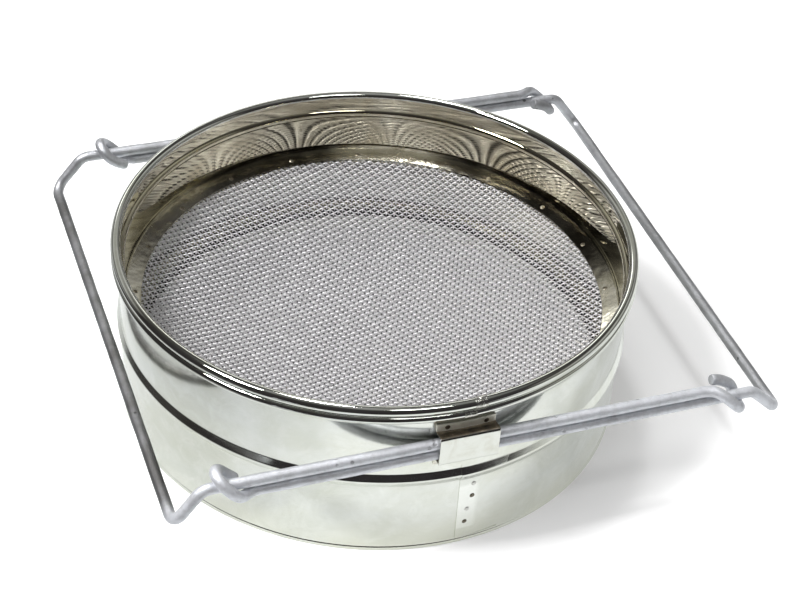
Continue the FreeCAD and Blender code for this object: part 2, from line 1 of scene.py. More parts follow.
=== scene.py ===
"""A pair of nested round sieves with two wire handles.

The axis is Z and the foot of the lower (fine) sieve stands at z = 0.  The upper (coarse) sieve
sits inside it.  The handles stand out along -X (left) and +X (right).  Their rods end in coils
at two saddle straps, one on the -Y side (front) and one on the +Y side (back).
Pieces are shaped in millimetres; materials, lights and camera are in metres.
"""
import math

import bmesh
import bpy
import numpy as np
from mathutils import Matrix, Vector


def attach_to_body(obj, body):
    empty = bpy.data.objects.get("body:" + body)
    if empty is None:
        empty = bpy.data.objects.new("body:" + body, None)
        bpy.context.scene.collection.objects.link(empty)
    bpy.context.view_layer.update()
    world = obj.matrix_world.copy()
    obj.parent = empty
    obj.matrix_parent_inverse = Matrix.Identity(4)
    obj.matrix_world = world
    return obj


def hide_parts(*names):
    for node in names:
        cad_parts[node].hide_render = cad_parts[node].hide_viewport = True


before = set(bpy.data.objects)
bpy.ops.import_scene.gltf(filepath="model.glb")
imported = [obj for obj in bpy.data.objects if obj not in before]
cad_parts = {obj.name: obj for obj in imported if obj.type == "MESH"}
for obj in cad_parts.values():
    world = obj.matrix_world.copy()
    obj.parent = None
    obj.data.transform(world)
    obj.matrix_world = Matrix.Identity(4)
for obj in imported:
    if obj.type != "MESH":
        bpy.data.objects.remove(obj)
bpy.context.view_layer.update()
scene = bpy.context.scene

MM = 0.001
# sheet walls
GAUGE = 0.5
SEGMENTS = 540
LONGEST_RUN = 2.5          # longest straight run in a turned outline
TURNED_SHARP = 40          # degrees
FINE_BORE = 116.2
FINE_SKIN = FINE_BORE + GAUGE
COARSE_BORE = 115.4
COARSE_ROLL_LEVEL = 81.8
# dished cloths and the sloping flanges round them
FLANGE_SLOPE = 0.34
COARSE_DISH = 107.0        # radius where the dish meets the flange
# handle coils
FRONT_LEVEL, BACK_LEVEL = 61.4, 62.0
ROD = 2.5                  # radius of the handle rod
PLANE = 119.4              # |y| of the coil axes
PITCH = 5.4                # rod to rod, centre to centre
REACH = 5.6                # usual radius of a coil
STEP = 1.0                 # spacing of rod rings on straight runs
BEND_STEP = STEP * 0.7


# ----------------------------------------------------------------- mesh tools
def unit(x):
    """clipped to 0..1"""
    return np.clip(x, 0, 1)


def ease(x):
    """smooth step from 0 to 1"""
    x = unit(x)
    return x * x * (3 - 2 * x)


def directions(vectors):
    """rows scaled to length one"""
    return vectors / np.linalg.norm(vectors, axis=1)[:, None]


def arc_lengths(points):
    """distance of each point along a line"""
    return np.concatenate([[0], np.cumsum(np.linalg.norm(np.diff(points, axis=0), axis=1))])


def make_object(name, verts, faces):
    """smooth mesh object from arrays in millimetres"""
    mesh = bpy.data.meshes.new(name)
    verts = np.asarray(verts, np.float64) * MM
    faces = np.asarray(faces, np.int32)
    count, corners = faces.shape
    mesh.vertices.add(len(verts))
    mesh.vertices.foreach_set("co", verts.astype(np.float32).ravel())
    mesh.loops.add(count * corners)
    mesh.loops.foreach_set("vertex_index", faces.ravel())
    mesh.polygons.add(count)
    mesh.polygons.foreach_set("loop_start", np.arange(0, count * corners, corners, dtype=np.int32))
    mesh.polygons.foreach_set("loop_total", np.full(count, corners, np.int32))
    mesh.update(calc_edges=True)
    mesh.validate()
    mesh.polygons.foreach_set("use_smooth", np.full(len(mesh.polygons), True, bool))
    mesh.update()
    obj = bpy.data.objects.new(name, mesh)
    scene.collection.objects.link(obj)
    return obj


def tube_faces(rings, sides, first=0, closed=False):
    """quads of a tube of rings; closed joins the last ring to the first"""
    grid = first + np.arange(rings * sides).reshape(rings, sides)
    grid = np.hstack([grid, grid[:, :1]])
    if closed:
        grid = np.vstack([grid, grid[:1]])
    corners = [grid[:-1, :-1], grid[1:, :-1], grid[1:, 1:], grid[:-1, 1:]]
    return np.stack(corners, -1).reshape(-1, 4)


def open_mesh(obj):
    bm = bmesh.new()
    bm.from_mesh(obj.data)
    return bm


def close_mesh(bm, obj, sharp):
    """shade smooth, mark the edges over sharp degrees and write the mesh back"""
    limit = math.radians(sharp)
    for face in bm.faces:
        face.smooth = True
    for edge in bm.edges:
        edge.smooth = edge.calc_face_angle(0.0) <= limit
    bm.to_mesh(obj.data)
    bm.free()


def arc(centre_r, centre_z, radius, start, end, count):
    """points of an arc, degrees, both ends included"""
    angles = np.radians(np.linspace(start, end, count))
    return [(centre_r + radius * math.cos(a), centre_z + radius * math.sin(a)) for a in angles]


def dense(points):
    """closed loop of points with every straight run cut to at most LONGEST_RUN"""
    out = []
    for i in range(len(points)):
        start, end = np.array(points[i]), np.array(points[(i + 1) % len(points)])
        cuts = max(1, int(math.ceil(np.linalg.norm(end - start) / LONGEST_RUN)))
        for j in range(cuts):
            out.append(tuple(start + (end - start) * j / cuts))
    return out


def cap_section(bm, ring):
    """end face of a sector: a strip between the outer and the inner side of the section"""
    m = len(ring)
    low = min(range(m), key=lambda k: ring[k].co.z)
    high = max(range(m), key=lambda k: ring[k].co.z)
    one = [ring[(low + k) % m] for k in range((high - low) % m + 1)]
    two = [ring[(low - k) % m] for k in range((low - high) % m + 1)]
    i = j = 0
    while i < len(one) - 1 or j < len(two) - 1:
        if j == len(two) - 1 or (i < len(one) - 1 and one[i + 1].co.z <= two[j + 1].co.z):
            triangle = (one[i], one[i + 1], two[j])
            i += 1
        else:
            triangle = (one[i], two[j + 1], two[j])
            j += 1
        if len(set(triangle)) == 3:
            bm.faces.new(triangle)


def lathe(name, outline, segments, ripple, sweep=None):
    """closed (radius, height) outline turned about Z.  ripple(angle, radius, z) gives a radial
    shift.  sweep = (start, end) in degrees makes a closed sector with end faces"""
    points = np.array(dense(outline), float)
    count = len(points)
    # the outline winds counter-clockwise in the (r, z) plane
    ahead = np.roll(points, -1, axis=0)
    if 0.5 * np.sum(points[:, 0] * ahead[:, 1] - ahead[:, 0] * points[:, 1]) < 0:
        points = points[::-1]
    full = sweep is None
    if full:
        angles = np.linspace(0, 2 * math.pi, segments, endpoint=False)
    else:
        angles = np.radians(np.linspace(sweep[0], sweep[1], segments))
    angle, radius = np.meshgrid(angles, points[:, 0], indexing="ij")
    z = np.broadcast_to(points[:, 1], radius.shape)
    radius = radius + ripple(angle, radius, z)
    verts = np.stack([radius * np.cos(angle), radius * np.sin(angle), z], -1).reshape(-1, 3)
    obj = make_object(name, verts, tube_faces(segments, count, closed=full))
    bm = open_mesh(obj)
    if not full:
        corners = list(bm.verts)
        cap_section(bm, corners[:count])
        cap_section(bm, corners[-count:])
    bmesh.ops.recalc_face_normals(bm, faces=bm.faces)
    close_mesh(bm, obj, TURNED_SHARP)
    return obj


def join(body, extra):
    """merge the second object into the first"""
    bpy.ops.object.select_all(action="DESELECT")
    for obj in (body, extra):
        obj.select_set(True)
    bpy.context.view_layer.objects.active = body
    bpy.ops.object.join()
    return body


def waves(seed, count, span):
    """smooth repeatable noise of angle and height: sum of a few waves"""
    rng = np.random.default_rng(seed)
    around = rng.integers(3, 34, count)
    upward = rng.uniform(-1, 1, count) * 2 * math.pi / span
    phase = rng.uniform(0, 2 * math.pi, count)
    amount = rng.uniform(0.4, 1.0, count) / np.sqrt(around)
    amount = amount / amount.sum()

    def noise(angle, z):
        return sum(d * np.sin(a * angle + b * z + c)
                   for a, b, c, d in zip(around, upward, phase, amount))

    return noise


def window(z, enter, leave):
    """1 between two heights; enter = (foot, fade length), leave = (top, fade length)"""
    return unit((z - enter[0]) / enter[1]) * unit((leave[0] - z) / leave[1])


# ---------------------------------------------------------------- sheet walls
def bead_outline(base, centre, half, rise, count):
    """points up a pressed bead with straight flanks and rounded crest and feet"""
    u = np.linspace(0, 1, 201)
    steepness = ease(u / 0.2) * ease((1 - u) / 0.16)
    steps = (steepness[1:] + steepness[:-1]) / 2
    height = 1 - np.concatenate([[0], np.cumsum(steps)]) / np.sum(steps)
    return [(base + rise * float(np.interp(abs(k), u, height)), centre + half * k)
            for k in np.linspace(-1, 1, count)]


def fine_wall():
    """lower wall: hemmed foot, outward bead, rolled rim, and the lap of the sheet ends"""
    bore, skin = FINE_BORE, FINE_SKIN
    roll, roll_level = 1.9, 77.55
    roll_axis = bore + roll
    bead, bead_half, bead_rise = 41.3, 4.0, 1.6
    hem = skin + 0.5
    foot = 1.5
    # columns: radius, height
    outline = [(bore, 0.0), (hem - 0.25, 0.0), (hem - 0.06, 0.08), (hem, 0.3), (hem, foot - 0.6),
               (hem - 0.08, foot - 0.15), (skin + 0.16, foot + 0.25), (skin + 0.03, foot + 0.55),
               (skin, foot + 0.9)]
    outline += bead_outline(skin, bead, bead_half, bead_rise, 31)
    outline += [(skin, roll_level)]
    outline += arc(roll_axis, roll_level, roll - GAUGE, 180, -126.87, 26)[1:]
    outline += arc(roll_axis, roll_level, roll, -126.87, 180, 32)
    outline += [(bore, bead + bead_half)]
    outline += bead_outline(bore, bead, bead_half, bead_rise, 25)[::-1]
    noise = waves(seed=3, count=26, span=55.0)

    def ripple(angle, radius, z):
        upper = window(z, enter=(24.0, 6.0), leave=(76.0, 3.0))
        lower = window(z, enter=(1.0, 4.0), leave=(13.0, 3.0))
        return (0.10 * upper + 0.05 * lower) * noise(angle, z)

    body = lathe("fine_wall_sheet", outline, SEGMENTS, ripple)

    # the overlapping end of the sheet, following the bead
    lap, seat = skin + 0.4, skin - 0.02
    lap_start, lap_end, lap_top = -89.5, -72.5, 48.6
    outline = [(seat, foot + 0.9), (lap - 0.12, foot + 0.9), (lap, foot + 1.05)]
    outline += bead_outline(lap, bead, bead_half + 0.15, bead_rise, 31)
    outline += [(lap, 48.4), (lap - 0.15, lap_top), (seat, lap_top)]
    outline += bead_outline(seat, bead, bead_half, bead_rise, 25)[::-1]

    def sunk_ripple(angle, radius, z):
        """the lap sinks into the wall towards its top and its far end"""
        degrees = np.degrees(angle)
        side = ease((degrees - lap_start) / (lap_end - lap_start))
        top = ease((z - 45.0) / 3.4)
        end = ease((degrees + 76.5) / 3.5)
        return ripple(angle, radius, z) - 0.62 * np.maximum(side, top) - 0.45 * end

    return join(body, lathe("fine_wall_lap", outline, 40, sunk_ripple, (lap_start, lap_end)))


def coarse_wall():
    """upper wall: sloping ledge at its foot, inward groove, rolled rim, and a short lap"""
    bore = COARSE_BORE
    roll, roll_level = 2.3, COARSE_ROLL_LEVEL
    roll_axis = bore + roll
    groove_level, groove_radius, groove_depth = 72.9, 2.51, 1.5
    groove_axis = bore - groove_depth + groove_radius
    back_radius = groove_radius - GAUGE
    bore_half = math.degrees(math.acos((groove_radius - groove_depth) / groove_radius))
    skin_half = math.degrees(math.acos((back_radius - groove_depth) / back_radius))
    upright = 1.06          # upright thickness of a sloping sheet per unit of gauge
    gap = 0.02
    ring_top, ring_gauge, cloth_room = 50.5, 0.6, 1.0
    ledge_top = ring_top - ring_gauge * upright - gap - cloth_room - gap
    ledge_low = ledge_top - upright * GAUGE
    toe = 114.6
    tip = COARSE_DISH + 0.4

    def ledge(base, r):
        return base + FLANGE_SLOPE * (r - COARSE_DISH)

    toe_level = ledge(ledge_top, toe)
    # columns: radius, height
    outline = [(tip, ledge(ledge_top, tip)), (toe - 0.9, ledge(ledge_top, toe - 0.9)),
               (toe - 0.2, toe_level + 0.15), (toe, toe_level + 0.9)]
    outline += arc(groove_axis, groove_level, groove_radius, 180 + bore_half, 180 - bore_half, 17)
    outline += arc(roll_axis, roll_level, roll, 180, -126.87, 36)
    outline += arc(roll_axis, roll_level, roll - GAUGE, -126.87, 180, 28)
    outline += arc(groove_axis, groove_level, back_radius, 180 - skin_half, 180 + skin_half, 13)
    outline += [(toe + GAUGE, ledge(ledge_low, toe + GAUGE)), (tip, ledge(ledge_low, tip))]
    noise = waves(seed=11, count=26, span=48.0)

    def ripple(angle, radius, z):
        return 0.045 * window(z, enter=(59.0, 4.0), leave=(78.5, 4.0)) * noise(angle, z)

    body = lathe("coarse_wall_sheet", outline, SEGMENTS, ripple)

    # the overlapping end of the sheet, on the inner side
    taper = (bore - toe) / ((groove_level - 2.3) - toe_level)

    def wall(z):
        return toe + (z - toe_level) * taper

    low, high = 58.7, 69.99
    outline = [(wall(low) + 0.2, low), (wall(high) + 0.2, high), (wall(high) - 0.28, high),
               (wall(high) - 0.4, high - 0.15), (wall(low) - 0.4, low + 0.15),
               (wall(low) - 0.28, low)]
    return join(body, lathe("coarse_wall_lap", outline, 12, ripple, (-87.5, -80.5)))


# --------------------------------------------------------------- saddle strap
def strap_line(depth, low, high):
    """middle line of a strap from its upper tab down: (distance from the wall, height)"""
    bend, longest_cut, spacing = 1.0, 1.3, 0.9
    # columns: 0 at the wall .. 1 at the face, height
    corners = [(0.0, high + 4.5), (0.0, high + 0.2), (1.0, high + 1.7),
               (1.0, low + 0.45), (0.0, low + 0.35), (0.0, low - 4.5)]
    corners = [np.array([share * depth, z]) for share, z in corners]
    line = [corners[0]]
    for before, corner, after in zip(corners, corners[1:], corners[2:]):
        back, ahead = before - corner, after - corner
        back, ahead = back / np.linalg.norm(back), ahead / np.linalg.norm(ahead)
        half = math.acos(float(back @ ahead)) / 2
        cut = min(bend / math.tan(half), longest_cut)
        for f in np.linspace(0, 1, 6):
            # quadratic blend through the corner
            line.append((1 - f) ** 2 * (corner + back * cut) + 2 * f * (1 - f) * corner +
                        f * f * (corner + ahead * cut))
    line.append(corners[-1])
    full = [line[0]]
    for start, end in zip(line[:-1], line[1:]):
        cuts = max(1, int(np.linalg.norm(end - start) / spacing))
        for j in range(1, cuts + 1):
            full.append(start + (end - start) * j / cuts)
    return np.array(full)


def strap(name, level, flip):
    """bent strap that holds the two legs against the wall: tab, sloping web, face, sloping web,
    tab.  It is made at -Y; flip turns it to +Y"""
    width, gauge, height, columns = 26.6, 0.9, 13.4, 29
    shift = -1.0 if flip else 1.0
    seat = FINE_SKIN + 0.03 + gauge / 2
    depth = 123.3 - gauge / 2 - seat
    low = level - 6.7
    line = strap_line(depth, low, low + height)
    along = directions(np.gradient(line, axis=0))
    outward = np.stack([-along[:, 1], along[:, 0]], 1)
    count = len(line)
    phase = np.random.default_rng(17 + flip).uniform(0, 6.28, 6)
    share = unit(line[:, 0] / depth)
    verts = np.zeros((2, count, columns, 3))
    for column, x in enumerate(np.linspace(shift - width / 2, shift + width / 2, columns)):
        # tabs follow the round wall, the face is flat but slightly uneven
        curve = (math.sqrt(seat * seat - x * x) - seat) * (1 - share)
        uneven = 0.05 * share * (np.sin(0.35 * x + 0.4 * line[:, 1] + phase[0]) +
                                 np.sin(0.17 * x - 0.6 * line[:, 1] + phase[1]))
        for k, side in enumerate((0.5, -0.5)):
            y = seat + line[:, 0] + curve + outward[:, 0] * gauge * side + uneven * 0.6
            z = line[:, 1] + outward[:, 1] * gauge * side
            verts[k, :, column] = np.stack([np.full(count, x), -y, z], 1)
    if flip:
        verts[..., :2] *= -1
    index = np.arange(2 * count * columns).reshape(2, count, columns)
    faces = []
    for grid, order in ((index[0], 1), (index[1], -1)):
        corners = [grid[:-1, :-1], grid[:-1, 1:], grid[1:, 1:], grid[1:, :-1]]
        faces.append(np.stack(corners, -1).reshape(-1, 4)[:, ::order])
    rims = [index[:, end] for end in (0, count - 1)]
    for one, two in rims:
        faces.append(np.stack([one[:-1], two[:-1], two[1:], one[1:]], -1))
    for end in (0, columns - 1):
        one, two = index[:, :, end]
        faces.append(np.stack([one[:-1], one[1:], two[1:], two[:-1]], -1))
    obj = make_object(name, verts.reshape(-1, 3), np.concatenate(faces))
    bm = open_mesh(obj)
    bmesh.ops.recalc_face_normals(bm, faces=bm.faces)
    rim = [edge for edge in bm.edges if edge.calc_face_angle(0.0) > math.radians(60)]
    bmesh.ops.bevel(bm, geom=rim, offset=0.13 * MM, segments=2, profile=0.5, affect="EDGES")
    close_mesh(bm, obj, sharp=50)
    return obj


# ---------------------------------------------------------------- woven cloth
# points of a wire at one crossing: (offsets in pitches, share of the crimp)
CROSSINGS = {1: (np.array([0.0]), np.array([1.0])),
             3: (np.array([-0.30, 0.0, 0.30]), np.array([0.84, 1.0, 0.84]))}


def cloth(name, bore, top, sag, edge, pitch, wire, turn, sides, points, seed, groups, crimp):
    """plain weave of two families of wires, cut to radius edge.  It lies on a dish of radius bore
    and depth sag inside a sloping flange; turn is in degrees.  points, groups and crimp give
    for (warp, weft): points per crossing, number of objects and height of the weave"""
    dish = (bore * bore + sag * sag) / (2 * sag)
    highest = max(crimp)

    def middle(r):
        drop = np.sqrt(np.maximum(dish * dish - np.minimum(r, bore) ** 2, 0))
        surface = np.where(r <= bore, top - sag + dish - drop, top + FLANGE_SLOPE * (r - bore))
        return surface - highest - wire

    rng = np.random.default_rng(seed)
    reach = int(edge / pitch) + 2
    index = np.arange(-reach, reach + 1)
    grid_a = index * pitch + rng.normal(0, 0.022 * pitch, len(index))
    grid_b = index * pitch + rng.normal(0, 0.022 * pitch, len(index))
    phase = rng.uniform(0, 2 * math.pi, 8)
    cos_turn, sin_turn = math.cos(math.radians(turn)), math.sin(math.radians(turn))

    def place(s, t, z):
        """weave coordinates to part coordinates, with the slow drift of a hand-cut disc"""
        drift_s = 0.55 * np.sin(t / 31.0 + phase[0]) + 0.175 * np.sin((s + t) / 19.0 + phase[1])
        drift_t = 0.55 * np.sin(s / 37.0 + phase[2]) + 0.175 * np.sin((s - t) / 23.0 + phase[3])
        s, t = s + drift_s, t + drift_t
        x = cos_turn * s - sin_turn * t
        y = sin_turn * s + cos_turn * t
        return np.stack([x, y, middle(np.hypot(x, y)) + z], 1)

    # the polygon section is enlarged to keep about the area of the round wire
    section = wire * (1.04 if sides > 4 else 1.1)
    angles = np.linspace(0, 2 * math.pi, sides, endpoint=False) + math.pi / 2
    cos_ring, sin_ring = np.cos(angles)[None, :, None], np.sin(angles)[None, :, None]

    def tube(line):
        along = directions(np.gradient(line, axis=0))
        side = directions(np.cross(along, np.array([0.0, 0.0, 1.0])))
        up = np.cross(side, along)
        ring = line[:, None, :] + section * (cos_ring * side[:, None, :] +
                                             sin_ring * up[:, None, :])
        return ring.reshape(-1, 3)

    out = []
    for family, tag in enumerate(("warp", "weft")):
        across, run = (grid_a, grid_b) if family else (grid_b, grid_a)
        offsets, shares = CROSSINGS[points[family]]
        wires = []
        for k, offset in enumerate(across):
            half_squared = (edge - 0.6) ** 2 - offset * offset
            if half_squared <= (3 * pitch) ** 2:
                continue
            used = np.where(np.abs(run) < math.sqrt(half_squared))[0]
            if len(used) < 3:
                continue
            parity = np.where((used + k) % 2 == 0, 1.0, -1.0) * (-1 if family else 1)
            s = (run[used][:, None] + offsets * pitch).ravel()
            z = (parity[:, None] * shares[None, :]).ravel() * crimp[family]
            t = np.full(len(s), offset)
            line = place(t, s, z) if family else place(s, t, z)
            wires.append((line, z / crimp[family]))
        total = groups[family]
        for group in range(total):
            part = wires[group * len(wires) // total:(group + 1) * len(wires) // total]
            crest = np.concatenate([np.repeat(c, sides) for _, c in part]).astype(np.float32)
            verts, faces, first = [], [], 0
            for line, _ in part:
                verts.append(tube(line))
                faces.append(tube_faces(len(line), sides, first))
                first += len(line) * sides
            full_name = "%s_%s" % (name, tag)
            if total > 1:
                full_name += "_%d" % (group + 1)
            obj = make_object(full_name, np.concatenate(verts), np.concatenate(faces))
            layer = obj.data.attributes.new("crest", "FLOAT", "POINT")
            layer.data.foreach_set("value", crest)
            out.append(obj)
    return out


# --------------------------------------------------------------- wire handles
def natural_spline(points):
    """natural cubic spline through points, chord-length parameters"""
    p = np.array(points, float)
    t = arc_lengths(p)
    n = len(p)
    h = np.diff(t)
    system = np.zeros((n, n))
    right_side = np.zeros((n, 3))
    system[0, 0] = system[-1, -1] = 1
    for i in range(1, n - 1):
        system[i, i - 1:i + 2] = h[i - 1], 2 * (h[i - 1] + h[i]), h[i]
        right_side[i] = 6 * ((p[i + 1] - p[i]) / h[i] - (p[i] - p[i - 1]) / h[i - 1])
    bend = np.linalg.solve(system, right_side)
    out = []
    for s in np.linspace(0, t[-1], int(t[-1] / BEND_STEP) + 1):
        i = min(n - 2, int(np.searchsorted(t, s, "right") - 1))
        a, b = t[i + 1] - s, s - t[i]
        out.append((bend[i] * a ** 3 + bend[i + 1] * b ** 3) / (6 * h[i]) +
                   (p[i] / h[i] - bend[i] * h[i] / 6) * a +
                   (p[i + 1] / h[i] - bend[i + 1] * h[i] / 6) * b)
    return np.array(out)


def rounded(points, radii):
    """straight runs joined by arcs, one radius for each inner point"""
    points = [np.array(p, float) for p in points]
    out = [points[0]]

    def run(start, end):
        cuts = max(1, int(np.linalg.norm(end - start) / STEP))
        for j in range(1, cuts + 1):
            out.append(start + (end - start) * j / cuts)

    start = points[0]
    for before, corner, after, radius in zip(points, points[1:], points[2:], radii):
        back = (before - corner) / np.linalg.norm(before - corner)
        ahead = (after - corner) / np.linalg.norm(after - corner)
        half = math.acos(float(back @ ahead)) / 2
        cut = radius / math.tan(half)
        enter, leave = corner + back * cut, corner + ahead * cut
        inward = (back + ahead) / np.linalg.norm(back + ahead)
        centre = corner + inward * radius / math.sin(half)
        run(start, enter)
        one, two = enter - centre, leave - centre
        total = math.acos(float(one @ two) / radius ** 2)
        cuts = max(3, int(radius * total / BEND_STEP))
        for j in range(1, cuts + 1):
            f = j / cuts
            out.append(centre + (math.sin((1 - f) * total) * one + math.sin(f * total) * two)
                       / math.sin(total))
        start = leave
    run(start, points[-1])
    return np.array(out)


def rod(name, line, seed, sides=24):
    """round rod along a line, drawn and rubbed: slight flats and dents, sheared ends"""
    count = len(line)
    along = directions(np.gradient(line, axis=0))
    up = np.zeros((count, 3))
    normal = np.array([0.0, 0.0, 1.0])
    if abs(along[0] @ normal) > 0.8:
        normal = np.array([0.0, 1.0, 0.0])
    # the normal is carried along the line without twist
    for i in range(count):
        normal = normal - along[i] * (along[i] @ normal)
        normal /= np.linalg.norm(normal)
        up[i] = normal
    side = np.cross(along, up)
    s = arc_lengths(line)
    total = s[-1]
    rng = np.random.default_rng(seed)
    angles = np.linspace(0, 2 * math.pi, sides, endpoint=False)
    length, angle = np.meshgrid(s, angles, indexing="ij")
    radius = np.full(length.shape, ROD)
    # slow flats
    for _ in range(14):
        lobes, rate = rng.integers(0, 4), rng.uniform(0.05, 0.45)
        radius += 0.012 * np.sin(lobes * angle + rate * length + rng.uniform(0, 6.28))
    # dents
    for _ in range(int(total * 0.30)):
        dent_at, dent_angle = rng.uniform(0, total), rng.uniform(0, 2 * math.pi)
        dent_long, dent_wide = rng.uniform(0.6, 2.0), rng.uniform(0.5, 1.1)
        away = (angle - dent_angle + math.pi) % (2 * math.pi) - math.pi
        near = np.abs(s - dent_at) < 3 * dent_long
        radius[near] -= rng.uniform(0.02, 0.09) * np.exp(
            -((length[near] - dent_at) / dent_long) ** 2 - (away[near] * ROD / dent_wide) ** 2)
    radius = np.minimum(radius, ROD + 0.03)
    # sheared, slightly rounded ends
    for end in (0, -1):
        radius -= (0.35 * unit(1 - np.abs(s - s[end]) / 0.5) ** 2)[:, None]
    ring = line[:, None, :] + radius[:, :, None] * (np.cos(angle)[:, :, None] * side[:, None, :] +
                                                    np.sin(angle)[:, :, None] * up[:, None, :])
    obj = make_object(name, ring.reshape(-1, 3), tube_faces(count, sides))
    bm = open_mesh(obj)
    corners = list(bm.verts)
    for loop, tip in ((corners[:sides], line[0]), (corners[-sides:], line[-1])):
        centre = bm.verts.new(Vector(tip * MM))
        for k in range(sides):
            bm.faces.new((loop[k], loop[(k + 1) % sides], centre))
    bmesh.ops.recalc_face_normals(bm, faces=bm.faces)
    close_mesh(bm, obj, sharp=42)
    return obj


def coil(keys, x, level, side):
    """points of a coil; keys hold (x offset, radius, degrees about the coil axis)"""
    return [np.array([x + along, side * (PLANE + radius * math.cos(math.radians(degrees))),
                      level + radius * math.sin(math.radians(degrees))])
            for along, radius, degrees in keys]


def handle(name, front, back, bar, seed):
    """front coil, grip bar and back coil in one rod"""
    grip = rounded([front[0]] + bar + [back[0]], radii=[7, 6, 6, 7])
    line = [natural_spline(front[::-1])[:-1], grip, natural_spline(back)[1:]]
    return rod(name, np.concatenate(line), seed)


def handles():
    half = PITCH / 2
    # coil keys: x offset, radius, degrees
    right_start = [(16, PITCH, -90), (11.5, PITCH, -89), (7.6, REACH - 0.1, -72),
                   (4.6, REACH, -42)]
    right_front = right_start + [
        (1.0, REACH, 0), (-2.8, REACH + 0.6, 45), (-4.8, REACH + 1.1, 90),
        (-3.4, REACH + 1.3, 132), (0.6, REACH + 1.0, 176), (4.8, REACH + 0.9, 208)]
    right_back = right_start + [
        (0.6, REACH, 0), (-3.4, REACH + 0.1, 45), (-5.2, REACH + 0.1, 90),
        (-4.3, REACH + 0.1, 135), (-0.8, REACH + 0.3, 180), (3.0, REACH + 0.8, 204),
        (6.0, REACH + 1.4, 217)]
    left_start = [(-16, PITCH, 90), (-11.5, PITCH, 89), (-7.6, REACH, 74),
                  (-4.2, REACH + 0.1, 45), (0.4, REACH + 0.1, 0), (4.4, REACH + 0.1, -45),
                  (5.8, REACH + 0.1, -90)]
    left_front = left_start + [
        (5.6, REACH + 0.1, -135), (4.4, REACH + 0.2, -180), (1.0, REACH + 1.0, -210),
        (-3.0, REACH + 2.2, -224), (-6.6, REACH + 2.7, -229)]
    left_back = left_start + [
        (4.6, REACH + 0.1, -135), (1.4, REACH + 0.3, -176), (-2.8, REACH + 0.6, -194),
        (-6.6, REACH + 1.2, -203)]
    # corners of the grip bars, front to back: x, y, z
    left_bar = [(-112.6, -PLANE, FRONT_LEVEL + half), (-124.8, -PLANE, 48.2),
                (-124.4, PLANE, 48.2), (-110.8, PLANE, BACK_LEVEL + half)]
    right_bar = [(136.0, -PLANE, FRONT_LEVEL - half), (150.2, -PLANE, 44.9),
                 (153.9, PLANE, 41.8), (140.8, PLANE, BACK_LEVEL - half)]
    left = handle("left_handle_wire", coil(left_front, 123.6, FRONT_LEVEL - half, -1),
                  coil(left_back, 131.6, BACK_LEVEL - half, 1), left_bar, seed=5)
    right = handle("right_handle_wire", coil(right_front, -102.1, FRONT_LEVEL + half, -1),
                   coil(right_back, -96.5, BACK_LEVEL + half, 1), right_bar, seed=8)
    return left, right


# ----------------------------------------------------------------- node tools
WALL_RADIUS = 0.117   # metres, turns an angle round the wall into a length


class Nodes:
    """short hand for building a node tree; a value may be a number or a socket"""

    def __init__(self, tree, coordinates):
        self.tree = tree
        tree.nodes.clear()
        self.coords = self.node("TexCoord").outputs[coordinates]

    def node(self, kind, **props):
        node = self.tree.nodes.new("ShaderNode" + kind)
        for key, value in props.items():
            setattr(node, key, value)
        return node

    def feed(self, socket, value):
        if isinstance(value, bpy.types.NodeSocket):
            self.tree.links.new(value, socket)
        else:
            socket.default_value = value

    def math(self, operation, *values, clamp=False):
        node = self.node("Math", operation=operation, use_clamp=clamp)
        for socket, value in zip(node.inputs, values):
            self.feed(socket, value)
        return node.outputs[0]

    def add(self, a, b):
        return self.math("ADD", a, b)

    def sub(self, a, b):
        return self.math("SUBTRACT", a, b)

    def mul(self, a, b, clamp=False):
        return self.math("MULTIPLY", a, b, clamp=clamp)

    def above(self, value, limit):
        return self.math("GREATER_THAN", value, limit)

    def below(self, value, limit):
        return self.math("LESS_THAN", value, limit)

    def hypot(self, x, y):
        return self.math("SQRT", self.add(self.mul(x, x), self.mul(y, y)))

    def combine(self, x, y, z):
        node = self.node("CombineXYZ")
        for socket, value in zip(node.inputs, (x, y, z)):
            self.feed(socket, value)
        return node.outputs[0]

    def xyz(self, vector=None):
        node = self.node("SeparateXYZ")
        self.feed(node.inputs[0], vector or self.coords)
        return node.outputs[0], node.outputs[1], node.outputs[2]

    def ramp(self, value, stops):
        """colour ramp; stops hold (position, grey or colour)"""
        node = self.node("ValToRGB")
        self.feed(node.inputs[0], value)
        elements = node.color_ramp.elements
        while len(elements) < len(stops):
            elements.new(0.5)
        for element, (position, colour) in zip(elements, stops):
            element.position = position
            element.color = (*colour, 1.0) if isinstance(colour, tuple) else (*[colour] * 3, 1.0)
        return node.outputs[0]

    def mix(self, amount, first, second):
        """first colour at amount 0, second at amount 1"""
        node = self.node("Mix", data_type="RGBA", blend_type="MIX")
        self.feed(node.inputs[0], amount)
        for k, colour in ((6, first), (7, second)):
            self.feed(node.inputs[k], (*colour, 1.0) if isinstance(colour, tuple) else colour)
        return node.outputs[2]

    def remap(self, value, span=(0.0, 1.0), to=(0.0, 1.0), smooth=False):
        """clamped change of range from span to to"""
        node = self.node("MapRange", interpolation_type="SMOOTHSTEP" if smooth else "LINEAR")
        self.feed(node.inputs["Value"], value)
        for key, number in zip(("From Min", "From Max", "To Min", "To Max"), (*span, *to)):
            node.inputs[key].default_value = number
        return node.outputs[0]


